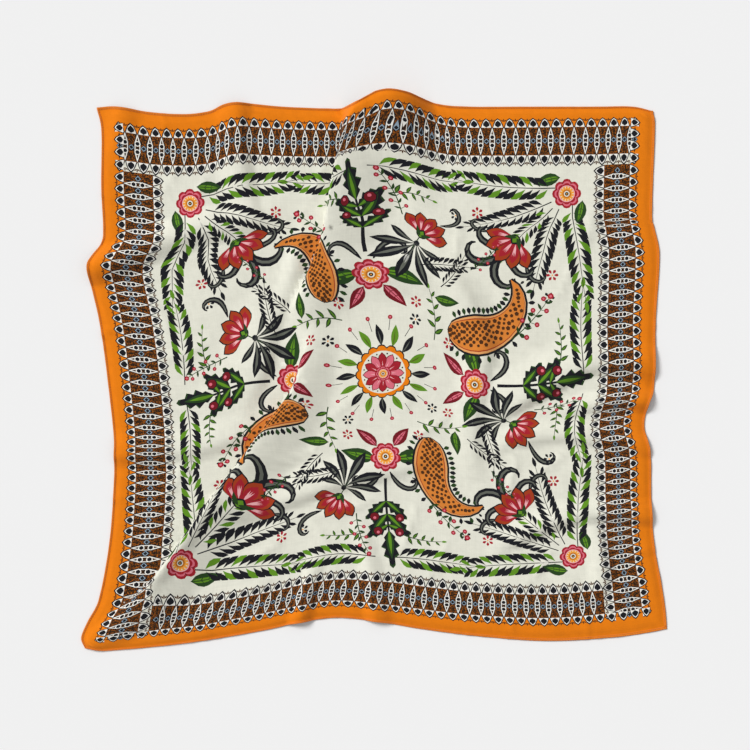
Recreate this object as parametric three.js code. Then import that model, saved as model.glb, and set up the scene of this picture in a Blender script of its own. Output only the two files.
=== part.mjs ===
// Square printed cotton scarf, laid out flat on a table with its folds.
// Millimetres, +Z up, the far edge of the cloth towards +Y. It rests on z = 0.
import * as THREE from 'three';

// Driving dimensions of the cloth
const cloth = {
  side: 650,   // cut size of the square, each way
  wall: 1.5,   // thickness of the cloth's wall
  cells: 48,   // grid cells across the cloth, each way
};

// Driving dimensions of the turned edge
const hem = {
  width: 4,    // how wide the turned edge is
  wall: 2.2,   // three layers of cloth
  seam: 0.3,   // gap between the hem and the cloth
};

// The outline as it lies. Columns: distance along the edge in the cut cloth, x, y.
// Far and near edges run from left to right, side edges from far to near.
const outline = {
  back: [
    [0, -299, 285], [28, -279, 286], [66, -240, 280], [104, -203, 278], [129, -178, 281],
    [150, -161, 288], [167, -145, 290], [218, -98, 286], [268, -45, 284], [281, -33, 285],
    [306, -7, 293], [331, 20, 300], [357, 41, 298], [382, 57, 293], [407, 74, 288],
    [432, 93, 286], [508, 169, 286], [584, 245, 286], [622, 280, 286], [650, 302, 281],
  ],
  front: [
    [0, -312, -299], [28, -291, -302], [66, -247, -299], [129, -185, -291], [193, -120, -280],
    [243, -74, -270], [281, -38, -266], [319, 3, -270], [369, 51, -278], [432, 114, -286],
    [508, 188, -291], [584, 261, -287], [622, 297, -282], [650, 317, -278],
  ],
  left: [
    [0, -299, 285], [28, -294, 262], [91, -294, 199], [142, -292, 147], [155, -296, 135],
    [167, -303, 125], [180, -308, 115], [193, -307, 102], [243, -297, 59], [281, -291, 22],
    [331, -285, -27], [382, -280, -74], [407, -280, -93], [432, -280, -112], [508, -285, -182],
    [571, -297, -247], [597, -309, -270], [622, -316, -287], [650, -312, -299],
  ],
  right: [
    [0, 302, 281], [28, 304, 265], [129, 301, 167], [155, 304, 153], [180, 309, 128],
    [256, 305, 56], [331, 303, -18], [357, 297, -35], [382, 293, -52], [395, 293, -63],
    [420, 299, -86], [470, 300, -131], [508, 301, -160], [559, 305, -198], [584, 310, -223],
    [622, 315, -255], [650, 317, -278],
  ],
};

// The folds. The crest runs through its rows of x, y and height. From it the cloth falls
// to the table over the widths on its left and its right, as seen along the crest, and
// lean is how far it is pushed over to the left for each millimetre of height.
const folds = [
  { name: 'corner ridge', left: 26, right: 41, lean: 0.3, crest: [
    [-296, -290, 0], [-276, -271, 6], [-244, -236, 15], [-211, -193, 18], [-177, -144, 18],
    [-144, -101, 18], [-110, -55, 18], [-86, -22, 15], [-71, 18, 10], [-60, 50, 0]] },
  { name: 'far ridge', left: 26, right: 38, lean: 0.3, crest: [
    [-86, 53, 0], [-77, 83, 8], [-64, 115, 12], [-51, 155, 14], [-45, 196, 16],
    [-36, 239, 19], [-25, 272, 21], [-6, 304, 22]] },
  { name: 'far ridge shoulder', left: 42, right: 28, lean: 0, crest: [
    [68, 180, 0], [61, 207, 5], [52, 239, 11], [44, 274, 16], [35, 304, 18]] },
  { name: 'rim of the middle', left: 24, right: 66, lean: 0, crest: [
    [-84, 29, 3], [-60, 53, 7], [-25, 69, 9], [26, 75, 9], [65, 58, 8], [93, 25, 7],
    [104, -15, 4], [102, -47, 0]] },
  { name: 'left of the valley', left: 26, right: 38, lean: 0, crest: [
    [-147, -50, 0], [-141, -25, 4], [-131, 12, 7], [-120, 50, 7], [-106, 77, 4], [-98, 98, 0]] },
  { name: 'left edge ridge', left: 28, right: 26, lean: 0, crest: [
    [-317, 110, 11], [-282, 118, 11], [-241, 137, 9], [-187, 153, 7], [-133, 164, 4],
    [-88, 172, 0]] },
  { name: 'left edge crease', left: 24, right: 20, lean: 0, crest: [
    [-289, -87, 6], [-236, -87, 7], [-182, -71, 7], [-144, -55, 5], [-120, -39, 0]] },
  { name: 'right crease', left: 28, right: 20, lean: 0, crest: [
    [111, -33, 0], [142, -24, 5], [169, -11, 8], [204, 2, 9], [245, 12, 8], [309, 6, 6]] },
  { name: 'right edge fold', left: 20, right: 20, lean: 0, crest: [
    [193, -44, 0], [228, -36, 4], [266, -31, 7], [303, -33, 7]] },
  { name: 'fold below the right edge', left: 22, right: 20, lean: 0, crest: [
    [124, -87, 0], [150, -74, 4], [201, -68, 5], [258, -74, 4], [304, -83, 3]] },
  { name: 'low right crease', left: 24, right: 20, lean: 0, crest: [
    [122, -195, 0], [158, -178, 5], [201, -160, 6], [247, -152, 6], [309, -156, 5]] },
  { name: 'near crease', left: 30, right: 20, lean: 0, crest: [
    [-172, -165, 0], [-120, -147, 6], [-79, -132, 8], [-36, -116, 8], [7, -104, 7],
    [42, -96, 4], [72, -83, 0]] },
  { name: 'near edge wave, left', left: 20, right: 20, lean: 0, crest: [
    [-82, -279, 7], [-75, -247, 6], [-66, -217, 3], [-56, -187, 0]] },
  { name: 'near edge wave, right', left: 22, right: 20, lean: 0, crest: [
    [3, -277, 6], [1, -247, 6], [-4, -217, 5], [-12, -182, 3], [-19, -155, 0]] },
  { name: 'fold left of the far ridge', left: 20, right: 20, lean: 0, crest: [
    [-72, 156, 0], [-80, 138, 3], [-90, 102, 4], [-101, 70, 0]] },
  { name: 'far edge wave', left: 28, right: 22, lean: 0, crest: [
    [-125, 151, 0], [-136, 185, 5], [-144, 223, 7], [-147, 261, 7], [-148, 298, 7]] },
  { name: 'far corner wave', left: 20, right: 22, lean: 0, crest: [
    [-276, 218, 0], [-274, 250, 4], [-269, 289, 5]] },
  { name: 'fold right of the middle', left: 26, right: 20, lean: 0, crest: [
    [115, -119, 0], [109, -90, 5], [111, -52, 6], [117, -15, 7], [122, 23, 7], [104, 56, 7],
    [85, 88, 6], [61, 118, 0]] },
  { name: 'near right corner fold', left: 22, right: 20, lean: 0, crest: [
    [236, -251, 0], [247, -220, 5], [242, -187, 5], [227, -160, 0]] },
  { name: 'crease beside the corner ridge', left: 12, right: 12, lean: 0, crest: [
    [-241, -249, 0], [-218, -225, 5], [-190, -191, 5], [-168, -160, 4], [-153, -139, 0]] },
];

// Smooth values at t through rows that each start with their own t
function through(rows, t) {
  const last = rows.length - 1;
  let i = 0;
  while (i < last - 1 && t > rows[i + 1][0]) i++;
  const [from, to] = [rows[i], rows[i + 1]];
  const span = to[0] - from[0];
  const f = (t - from[0]) / span;
  const slope = (k, column) => {
    const before = rows[Math.max(k - 1, 0)];
    const after = rows[Math.min(k + 1, last)];
    return (after[column] - before[column]) / (after[0] - before[0]) * span;
  };
  const values = [];
  for (let column = 1; column < from.length; column++) {
    values.push((1 + 2 * f) * (1 - f) ** 2 * from[column] + f * f * (3 - 2 * f) * to[column]
      + f * (1 - f) ** 2 * slope(i, column) - f * f * (1 - f) * slope(i + 1, column));
  }
  return values;
}

// Each crest as a run of short straight steps
const stepsPerRow = 5;
const crests = folds.map(({ crest }) => {
  const rows = crest.map((row, i) => [i, ...row]);
  const points = [];
  for (let k = 0; k <= (rows.length - 1) * stepsPerRow; k++) {
    points.push(through(rows, k / stepsPerRow));
  }
  return points;
});

// Nearest place on a crest: distance, height there, and the way to its left
function nearest(points, x, y) {
  let best = { distance: Infinity };
  for (let k = 0; k + 1 < points.length; k++) {
    const [ax, ay, ah] = points[k];
    const [bx, by, bh] = points[k + 1];
    const [dx, dy] = [bx - ax, by - ay];
    const along = THREE.MathUtils.clamp(((x - ax) * dx + (y - ay) * dy) / (dx * dx + dy * dy), 0, 1);
    const [px, py] = [x - ax - along * dx, y - ay - along * dy];
    const distance = Math.hypot(px, py);
    if (distance < best.distance) {
      const length = Math.hypot(dx, dy);
      const leftward = [-dy / length, dx / length];
      const onLeft = px * leftward[0] + py * leftward[1] > 0;
      best = { distance, high: Math.max(0, ah + along * (bh - ah)), leftward, onLeft };
    }
  }
  return best;
}

// Where a place on the table is carried to by the folds
function folded(x, y) {
  const place = new THREE.Vector3(x, y, 0);
  folds.forEach((fold, n) => {
    const { distance, high, leftward, onLeft } = nearest(crests[n], x, y);
    const away = distance / (onLeft ? fold.left : fold.right);
    if (away >= 1) return;
    const rise = high * (1 - away * away) ** 2;
    place.x += leftward[0] * fold.lean * rise;
    place.y += leftward[1] * fold.lean * rise;
    place.z += rise;
  });
  return place;
}

// Underside of the cloth at a place in the cut square, measured across from the left
// edge and down from the far edge: the four edges are blended, then the folds rise
function underside(across, down) {
  const [s, t] = [across / cloth.side, down / cloth.side];
  const [back, front] = [through(outline.back, across), through(outline.front, across)];
  const [left, right] = [through(outline.left, down), through(outline.right, down)];
  const [backLeft, backRight] = [outline.left[0], outline.right[0]];
  const [frontLeft, frontRight] = [outline.left.at(-1), outline.right.at(-1)];
  const [x, y] = [0, 1].map((k) => (1 - t) * back[k] + t * front[k] + (1 - s) * left[k] + s * right[k]
    - (1 - s) * (1 - t) * backLeft[k + 1] - s * (1 - t) * backRight[k + 1]
    - (1 - s) * t * frontLeft[k + 1] - s * t * frontRight[k + 1]);
  return folded(x, y);
}

// The cloth at a place, on its underside: the point, the ways across and towards the far
// edge along the surface, and the normal
function clothAt(across, down) {
  const reach = 1;
  const point = underside(across, down);
  const sideways = underside(across + reach, down).sub(underside(across - reach, down)).normalize();
  const backwards = underside(across, down - reach).sub(underside(across, down + reach)).normalize();
  const normal = sideways.clone().cross(backwards).normalize();
  return { point, sideways, backwards, normal };
}

// Closed wall over a square grid of places, its upper side moved out along the normal.
// Each cell is halved along the diagonal that lies closer to the cloth.
function clothWall(stops, wall) {
  const wide = stops.length;
  const lower = [];
  const upper = [];
  for (const down of stops) {
    for (const across of stops) {
      const { point, normal } = clothAt(across, down);
      lower.push(point);
      upper.push(point.clone().addScaledVector(normal, wall));
    }
  }
  const at = (i, j) => j * wide + i;
  const top = lower.length;
  const faces = [];
  for (let j = 0; j + 1 < wide; j++) {
    for (let i = 0; i + 1 < wide; i++) {
      const [a, b, c, d] = [at(i, j), at(i + 1, j), at(i + 1, j + 1), at(i, j + 1)];
      const middle = underside((stops[i] + stops[i + 1]) / 2, (stops[j] + stops[j + 1]) / 2);
      const misses = ([p, q]) => lower[p].clone().lerp(lower[q], 0.5).distanceTo(middle);
      const alongAC = misses([a, c]) <= misses([b, d]);
      const halves = alongAC ? [[a, b, c], [a, c, d]] : [[a, b, d], [b, c, d]];
      for (const [p, q, r] of halves) faces.push(p, q, r, top + p, top + r, top + q);
    }
  }
  const rim = [];
  for (let i = 0; i + 1 < wide; i++) rim.push(at(i, 0));
  for (let j = 0; j + 1 < wide; j++) rim.push(at(wide - 1, j));
  for (let i = wide - 1; i > 0; i--) rim.push(at(i, wide - 1));
  for (let j = wide - 1; j > 0; j--) rim.push(at(0, j));
  rim.forEach((p, k) => {
    const q = rim[(k + 1) % rim.length];
    faces.push(q, p, top + p, q, top + p, top + q);
  });
  return solid([...lower, ...upper], faces);
}

function solid(points, faces) {
  const geometry = new THREE.BufferGeometry().setFromPoints(points);
  geometry.setIndex(faces);
  geometry.computeVertexNormals();
  return geometry;
}

// Hem along one edge of the cloth: a flat bar made from the cloth's own rim, moved out.
// The places run clockwise seen from above. A full hem runs on round both its corners,
// and the others end square against it.
function hemBar(places, full) {
  const sections = places.map(([across, down], k) => {
    const { point, sideways, backwards, normal } = clothAt(across, down);
    const [nextAcross, nextDown] = places[k + 1] ?? places[k];
    const [lastAcross, lastDown] = places[k - 1] ?? places[k];
    const travel = sideways.clone().multiplyScalar(Math.sign(nextAcross - lastAcross))
      .addScaledVector(backwards, -Math.sign(nextDown - lastDown));
    const atEnd = k === 0 || k === places.length - 1;
    const square = normal.clone().cross(travel).normalize();
    const alongFull = sideways.clone().multiplyScalar(Math.sign(square.x));
    const out = !full && atEnd ? alongFull : square;
    return { point, travel, out, normal };
  });
  if (full) {
    const corner = hem.width + hem.seam;
    const [first, last] = [sections[0], sections.at(-1)];
    sections.unshift({ ...first, point: first.point.clone().addScaledVector(first.travel, -corner) });
    sections.push({ ...last, point: last.point.clone().addScaledVector(last.travel, corner) });
  }
  const points = sections.flatMap(({ point, out, normal }) => {
    const inner = point.clone().addScaledVector(out, hem.seam);
    const outer = point.clone().addScaledVector(out, hem.seam + hem.width);
    for (const low of [inner, outer]) low.z = Math.max(0, low.z);
    const raised = [outer, inner].map((low) => low.clone().addScaledVector(normal, hem.wall));
    return [inner, outer, ...raised];
  });
  const faces = [0, 2, 1, 0, 3, 2];
  for (let from = 0; from + 4 < points.length; from += 4) {
    for (let k = 0; k < 4; k++) {
      const [a, b] = [from + k, from + (k + 1) % 4];
      faces.push(a, b, b + 4, a, b + 4, a + 4);
    }
  }
  const end = points.length - 4;
  faces.push(end, end + 1, end + 2, end, end + 2, end + 3);
  return solid(points, faces);
}

// Stops across the cloth, from one hem's inner side to the other's
const inset = hem.width + hem.seam;
const stops = Array.from({ length: cloth.cells + 1 },
  (_, i) => inset + (cloth.side - 2 * inset) * i / cloth.cells);
const [firstStop, lastStop] = [stops[0], stops.at(-1)];

const printedCotton = new THREE.MeshStandardMaterial({ color: '#ece9dc', roughness: 0.9, metalness: 0 });
const hemCotton = new THREE.MeshStandardMaterial({ color: '#e08312', roughness: 0.9, metalness: 0 });

function piece(name, geometry, material) {
  const mesh = new THREE.Mesh(geometry, material);
  mesh.name = name;
  return mesh;
}

const scarf = new THREE.Group();
scarf.add(
  piece('cloth', clothWall(stops, cloth.wall), printedCotton),
  piece('hem_back', hemBar(stops.map((stop) => [stop, firstStop]), true), hemCotton),
  piece('hem_right', hemBar(stops.map((stop) => [lastStop, stop]), false), hemCotton),
  piece('hem_front', hemBar(stops.map((stop) => [stop, lastStop]).reverse(), true), hemCotton),
  piece('hem_left', hemBar(stops.map((stop) => [firstStop, stop]).reverse(), false), hemCotton),
);

// The origin is under the middle of the scarf
const middle = new THREE.Box3().setFromObject(scarf).getCenter(new THREE.Vector3());
scarf.position.set(-middle.x, -middle.y, 0);

export default scarf;
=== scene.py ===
"""Square printed cotton scarf, laid out on a table with its folds.

The cloth is a thin shell. Its print is drawn in the flat cut cloth, cut into its mesh as
small coloured shapes, and carried with the cloth into its folds. Four turned hems and
their machine stitches finish the edges.
"""
import math

import bpy
import numpy as np
from bpy.props import FloatProperty, FloatVectorProperty, IntProperty, PointerProperty
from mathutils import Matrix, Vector
from mathutils.geometry import delaunay_2d_cdt
from mathutils.kdtree import KDTree


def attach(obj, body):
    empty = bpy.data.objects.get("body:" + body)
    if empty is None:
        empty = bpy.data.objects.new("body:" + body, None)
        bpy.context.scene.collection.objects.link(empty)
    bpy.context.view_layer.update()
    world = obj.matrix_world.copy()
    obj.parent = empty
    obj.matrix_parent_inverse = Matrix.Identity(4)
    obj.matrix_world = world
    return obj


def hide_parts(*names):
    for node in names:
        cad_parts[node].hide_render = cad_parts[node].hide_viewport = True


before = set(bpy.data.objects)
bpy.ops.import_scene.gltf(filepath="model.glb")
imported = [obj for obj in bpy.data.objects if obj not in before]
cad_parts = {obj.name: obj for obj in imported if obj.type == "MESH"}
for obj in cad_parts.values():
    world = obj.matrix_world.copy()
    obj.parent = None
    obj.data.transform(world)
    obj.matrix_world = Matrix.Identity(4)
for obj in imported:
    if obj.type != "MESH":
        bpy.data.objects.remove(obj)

bl_info = {
    "name": "Printed cotton scarf",
    "version": (1, 0, 0),
    "blender": (4, 5, 0),
    "location": "3D View > Sidebar > Scarf",
    "description": "A square printed cotton scarf laid out with its folds, hems and stitches",
    "category": "Add Mesh",
}


# Colours

def linear(code):
    """An sRGB hex colour as linear red, green, blue and 1."""
    parts = [int(code[k:k + 2], 16) / 255 for k in (1, 3, 5)]
    return (*(c / 12.92 if c <= 0.04045 else ((c + 0.055) / 1.055) ** 2.4 for c in parts), 1.0)


# The dyes of the print
DYES = {
    "cream": "#E6E5D6",
    "orange": "#E97E04",
    "strip": "#96520E",
    "amber": "#C2701C",
    "ink": "#16171D",
    "soft ink": "#62655C",
    "brown": "#4E2C12",
    "soil": "#55320E",
    "white": "#F4F2EA",
    "pale blue": "#93A8B8",
    "leaf": "#5F8F20",
    "olive": "#55601F",
    "deep leaf": "#25421C",
    "red": "#A51F2C",
    "dark red": "#74141E",
    "rust": "#A33C1A",
    "pink": "#DE6F80",
    "pale pink": "#F0B3B6",
    "tangerine": "#D98234",
    "apricot": "#E2A263",
    "sun": "#F2A23A",
}


# The cloth as it lies. Millimetres on the table, x to the right and y to the far side.

SIDE = 650.0      # cut size of the square
HALF = SIDE / 2
CENTRED = (-1.009, 1.369)   # the table's middle, moved to the middle of the scarf's box

# Columns: distance along the edge in the cut cloth, x, y. Far and near edges run from
# left to right, side edges from far to near.
OUTLINE = {
    "back": [
        (0, -299, 285), (28, -279, 286), (66, -240, 280), (104, -203, 278), (129, -178, 281),
        (150, -161, 288), (167, -145, 290), (216, -98, 286), (272, -45, 284), (288, -33, 285),
        (320, -7, 293), (346, 20, 300), (367, 41, 298), (387, 57, 293), (408, 74, 288),
        (432, 93, 286), (508, 169, 286), (584, 245, 286), (622, 280, 286), (650, 302, 281),
    ],
    "front": [
        (0, -312, -299), (28, -291, -302), (66, -247, -299), (129, -185, -291),
        (193, -120, -280), (243, -74, -270), (281, -38, -266), (319, 3, -270),
        (369, 51, -278), (432, 114, -286), (508, 188, -291), (584, 261, -287),
        (622, 297, -282), (650, 317, -278),
    ],
    "left": [
        (0, -299, 285), (28, -294, 262), (91, -294, 199), (142, -292, 147), (155, -296, 135),
        (167, -303, 125), (180, -308, 115), (193, -307, 102), (243, -297, 59), (281, -291, 22),
        (331, -285, -27), (382, -280, -74), (407, -280, -93), (432, -280, -112),
        (508, -285, -182), (571, -297, -247), (597, -309, -270), (622, -316, -287),
        (650, -312, -299),
    ],
    "right": [
        (0, 302, 281), (28, 304, 265), (129, 301, 167), (155, 304, 153), (180, 309, 128),
        (256, 305, 56), (331, 303, -18), (357, 297, -35), (382, 293, -52), (395, 293, -63),
        (420, 299, -86), (470, 300, -131), (508, 301, -160), (559, 305, -198),
        (584, 310, -223), (622, 315, -255), (650, 317, -278),
    ],
}

# Name, lean to the left for each millimetre of height, and the crest's rows: x, y, height,
# and the widths to its left and its right, as seen along the crest.
FOLDS = [
    ("corner ridge", 1.15, [
        (-300, -290, 3, 15, 17), (-276, -271, 7, 17, 24), (-244, -236, 12, 19, 30),
        (-211, -193, 14, 19, 32), (-177, -144, 14, 19, 34), (-144, -101, 14, 19, 34),
        (-110, -55, 14, 19, 34), (-86, -22, 12, 19, 30), (-71, 18, 8, 19, 26),
        (-60, 50, 0, 19, 26)]),
    ("far ridge", 0.9, [
        (-86, 53, 0, 15, 34), (-77, 83, 8, 15, 42), (-64, 115, 12, 15, 50),
        (-51, 155, 14, 15, 55), (-45, 196, 16, 15, 60), (-36, 239, 19, 15, 65),
        (-25, 272, 21, 15, 68), (-6, 304, 22, 15, 68)]),
    ("far ridge shoulder", 0, [
        (58, 170, 0, 32, 26), (50, 203, 4, 32, 30), (42, 236, 8, 37, 32),
        (40, 274, 14, 43, 30), (35, 304, 18, 43, 28)]),
    ("rim of the middle", 0, [
        (-84, 29, 2, 24, 30), (-62, 66, 3, 28, 34), (-28, 98, 3, 30, 36), (26, 114, 6, 30, 38),
        (68, 106, 8, 30, 38), (98, 76, 6, 28, 34), (118, 36, 4, 24, 30), (122, 0, 0, 22, 28)]),
    ("left of the valley", 0, [
        (-147, -50, 0, 36, 17), (-135, -25, 3, 42, 17), (-122, 5, 6, 48, 18),
        (-117, 35, 6, 48, 18), (-108, 65, 3, 40, 18), (-98, 90, 0, 32, 17)]),
    ("left edge ridge", 0, [
        (-317, 110, 11, 22, 22), (-282, 118, 11, 22, 24), (-241, 137, 9, 22, 24),
        (-187, 153, 7, 24, 22), (-133, 164, 4, 26, 22), (-88, 172, 0, 26, 22)]),
    ("left edge crease", 0.3, [
        (-289, -90, 5, 28, 14), (-236, -86, 5, 30, 15), (-190, -82, 5, 30, 15),
        (-150, -70, 4, 28, 14), (-122, -58, 0, 26, 13)]),
    ("right crease", 0, [
        (120, -52, 0, 34, 13), (150, -36, 6, 40, 14), (178, -20, 8, 42, 15),
        (208, -4, 8, 42, 15), (240, 8, 7, 38, 15), (309, 4, 5, 30, 17)]),
    ("right edge fold", 0, [
        (193, -44, 0, 15, 13), (228, -36, 4, 15, 13), (266, -31, 7, 15, 13),
        (303, -33, 7, 15, 15)]),
    ("fold below the right edge", 0, [
        (124, -87, 0, 17, 13), (150, -74, 4, 19, 13), (201, -68, 5, 19, 13),
        (258, -74, 4, 17, 13), (304, -83, 3, 17, 13)]),
    ("low right crease", 0, [
        (122, -195, 0, 22, 13), (158, -178, 5, 22, 13), (201, -160, 6, 22, 13),
        (247, -152, 6, 19, 13), (309, -156, 5, 19, 15)]),
    ("near crease", 0, [
        (-172, -165, 0, 26, 13), (-120, -147, 5, 28, 14), (-79, -132, 6, 30, 15),
        (-36, -118, 6, 30, 15), (7, -108, 5, 28, 15), (42, -100, 3, 26, 15),
        (72, -87, 0, 26, 15)]),
    ("near edge wave, left", 0, [
        (-82, -279, 7, 15, 17), (-75, -247, 6, 13, 15), (-66, -217, 3, 13, 13),
        (-56, -187, 0, 13, 13)]),
    ("near edge wave, right", 0, [
        (3, -277, 6, 15, 22), (1, -247, 6, 13, 19), (-4, -217, 5, 13, 17),
        (-12, -182, 3, 13, 15), (-19, -155, 0, 13, 13)]),
    ("far edge wave", 0, [
        (-125, 151, 0, 26, 15), (-136, 185, 5, 28, 16), (-144, 223, 7, 28, 17),
        (-147, 261, 7, 28, 17), (-148, 298, 7, 28, 19)]),
    ("far corner wave", 0, [
        (-276, 218, 0, 17, 17), (-274, 250, 4, 17, 19), (-269, 289, 5, 19, 22)]),
    ("fold right of the middle", 0, [
        (115, -119, 0, 19, 14), (107, -90, 4, 24, 16), (106, -52, 5, 26, 17),
        (112, -15, 5, 28, 17), (118, 23, 5, 28, 17), (108, 50, 4, 26, 17),
        (95, 80, 3, 24, 16), (75, 105, 0, 20, 15)]),
    ("near right corner fold", 0, [
        (236, -251, 0, 17, 15), (247, -220, 5, 19, 15), (242, -187, 5, 17, 15),
        (227, -160, 0, 15, 13)]),
    ("crease beside the corner ridge", 0, [
        (-241, -249, 0, 11, 11), (-218, -225, 5, 12, 12), (-190, -191, 5, 12, 12),
        (-168, -160, 4, 11, 11), (-153, -139, 0, 11, 11)]),
    ("fold left of the far ridge", 0, [
        (-72, 156, 0, 14, 12), (-80, 138, 3, 15, 13), (-90, 102, 4, 16, 14),
        (-101, 70, 0, 14, 12)]),
]

# Shallow creases. Columns: x, y, heading in degrees, length, width, height.
CREASES = [
    (-212, 222, 72, 90, 13, 1.5), (-186, 196, 60, 70, 11, 1.2), (-228, 60, 118, 80, 14, 1.6),
    (-205, 20, 20, 90, 15, 1.4), (-240, -20, -25, 70, 13, 1.3), (-188, -28, 35, 60, 10, 1.4),
    (-60, 205, 70, 90, 13, 1.4), (-96, 232, 66, 70, 12, 1.3), (8, 150, -40, 80, 12, 1.7),
    (40, 118, -48, 70, 11, 1.5), (90, 138, 80, 90, 14, 1.6), (128, 168, -62, 80, 13, 1.4),
    (172, 196, 24, 100, 15, 1.3), (232, 150, 75, 90, 16, 1.6), (206, 96, 62, 80, 13, 1.3),
    (150, 62, -50, 80, 12, 1.8), (170, 36, -30, 70, 11, 1.6), (250, 62, 84, 70, 14, 1.2),
    (0, 20, 12, 100, 20, 0.9), (40, -20, 80, 80, 16, 1.0), (-30, -36, 40, 90, 15, 1.1),
    (60, -62, 30, 80, 12, 1.6), (-78, -92, 30, 80, 12, 1.5), (-30, -150, 18, 90, 14, 1.6),
    (-60, -170, -58, 70, 12, 1.5), (40, -168, 70, 90, 13, 1.7), (70, -206, 62, 80, 12, 1.4),
    (110, -238, 20, 90, 14, 1.3), (150, -112, 74, 80, 12, 1.7), (186, -104, 34, 90, 13, 1.5),
    (228, -112, -20, 80, 12, 1.4), (262, -120, 70, 70, 12, 1.2), (180, -212, 54, 80, 12, 1.5),
    (214, -236, -36, 70, 12, 1.3), (-214, -120, 60, 80, 14, 1.4), (-236, -160, 72, 80, 13, 1.5),
    (-120, -196, 32, 90, 13, 1.5), (-134, -236, 20, 80, 13, 1.3), (-20, 262, 84, 60, 12, 1.2),
    (120, 262, 70, 60, 12, 1.1), (210, 258, -70, 60, 12, 1.0), (282, 10, 10, 50, 10, 1.2),
    (284, -196, 16, 60, 11, 1.2), (-286, -140, 12, 50, 10, 1.2), (-292, 40, 18, 50, 11, 1.4),
    (-292, 190, -8, 46, 11, 1.1), (150, -270, 84, 50, 11, 1.2), (230, -268, 96, 50, 11, 1.1),
    (-180, -268, 96, 50, 11, 1.3), (-226, 262, 84, 50, 11, 1.0), (60, 262, 80, 50, 11, 1.3),
]

CREST_STEPS = 6        # straight steps of a crest between two of its rows
GATHER = 0.42          # how much closer the cloth lies across a leaning fold's crest
GATHER_REACH = 2.0     # widths from the crest within which it is drawn in
EDGE_LIFT = 1.9        # how far the cloth lies above the table inside its edges
EDGE_ROLL = 17.0       # how far in from its edges the cloth comes up to that
GATHER_HEIGHT = 12.0   # height from which a fold is gathered in full
UPRIGHT_AT = (300.0, 283.0)   # x and y from which no fold leans
LEAN_FADE = 45.0       # distance over which the lean comes in from there
REACH = 0.4            # millimetres between places that are compared for the normal


def through(rows, at):
    """Smooth values at each place in `at`, through rows that each start with their place."""
    rows = np.asarray(rows, float)
    place, values = rows[:, 0], rows[:, 1:]
    number = np.arange(len(rows))
    before, after = np.maximum(number - 1, 0), np.minimum(number + 1, len(rows) - 1)
    slope = (values[after] - values[before]) / (place[after] - place[before])[:, None]
    i = np.clip(np.searchsorted(place, at, side="right") - 1, 0, len(rows) - 2)
    span = (place[i + 1] - place[i])[:, None]
    f = (np.asarray(at) - place[i])[:, None] / span
    return ((1 + 2 * f) * (1 - f) ** 2 * values[i] + f * f * (3 - 2 * f) * values[i + 1]
            + span * (f * (1 - f) ** 2 * slope[i] - f * f * (1 - f) * slope[i + 1]))


def crest_points(rows):
    """A crest as a run of short straight steps."""
    count = len(rows) - 1
    numbered = [(i, *row) for i, row in enumerate(rows)]
    return through(numbered, np.linspace(0, count, count * CREST_STEPS + 1))


def lean_left(flat):
    """Share of a fold's lean that is left at places on the table. It fades at the edges."""
    x, y = abs(flat[:, 0]), abs(flat[:, 1])
    return np.clip(np.minimum(UPRIGHT_AT[0] - x, UPRIGHT_AT[1] - y) / LEAN_FADE, 0, 1)


def stood_up(crest, lean):
    """The crest before its fold leans over, so that it ends up where its rows say."""
    way = np.gradient(crest[:, :2], axis=0)
    leftward = np.stack([-way[:, 1], way[:, 0]], axis=1) / np.hypot(*way.T)[:, None]
    push = lean * lean_left(crest) * np.maximum(crest[:, 2], 0)
    crest[:, :2] -= leftward * push[:, None]
    return crest


CRESTS = [(lean, stood_up(crest_points(rows), lean)) for _, lean, rows in FOLDS]


def on_table(across, down):
    """Where the flat cloth's places lie, blended from its four edges."""
    s, t = (across / SIDE)[:, None], (down / SIDE)[:, None]
    back, front = (through(OUTLINE[edge], across) for edge in ("back", "front"))
    left, right = (through(OUTLINE[edge], down) for edge in ("left", "right"))
    corner = {edge: [np.array(OUTLINE[edge][k][1:], float) for k in (0, -1)]
              for edge in ("left", "right")}
    return ((1 - t) * back + t * front + (1 - s) * left + s * right
            - (1 - s) * (1 - t) * corner["left"][0] - s * (1 - t) * corner["right"][0]
            - (1 - s) * t * corner["left"][1] - s * t * corner["right"][1])


def nearest_on(crest, flat, reach):
    """The places within reach of a crest: their numbers, the way from the crest to each and
    its length, the way to the crest's left, and the crest's height and width there."""
    low, high = crest[:, :2].min(axis=0) - reach, crest[:, :2].max(axis=0) + reach
    near = np.flatnonzero(((flat > low) & (flat < high)).all(axis=1))
    start, step = crest[:-1], np.diff(crest, axis=0)
    length = np.hypot(step[:, 0], step[:, 1])
    offset = flat[near, None, :] - start[None, :, :2]
    along = np.clip((offset * step[:, :2]).sum(axis=2) / length ** 2, 0, 1)
    gap = offset - along[..., None] * step[None, :, :2]
    distance = np.hypot(gap[..., 0], gap[..., 1])
    k = distance.argmin(axis=1)
    here = np.arange(len(near))
    along, gap, distance = along[here, k], gap[here, k], distance[here, k]
    leftward = np.stack([-step[k, 1], step[k, 0]], axis=1) / length[k, None]
    height, left, right = (start[k] + along[:, None] * step[k])[:, 2:].T
    width = np.where((gap * leftward).sum(axis=1) > 0, left, right)
    return near, gap, distance, leftward, np.maximum(height, 0), width


def gathered(flat, crest):
    """The places drawn in towards a crest, because a fold takes up more cloth."""
    reach = GATHER_REACH * crest[:, 3:].max()
    near, gap, distance, _, height, width = nearest_on(crest, flat, reach)
    fade = np.clip(1 - distance / (GATHER_REACH * width), 0, 1) ** 2
    drawn = flat.copy()
    drawn[near] -= gap * (GATHER * fade * np.clip(height / GATHER_HEIGHT, 0, 1))[:, None]
    return drawn


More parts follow.
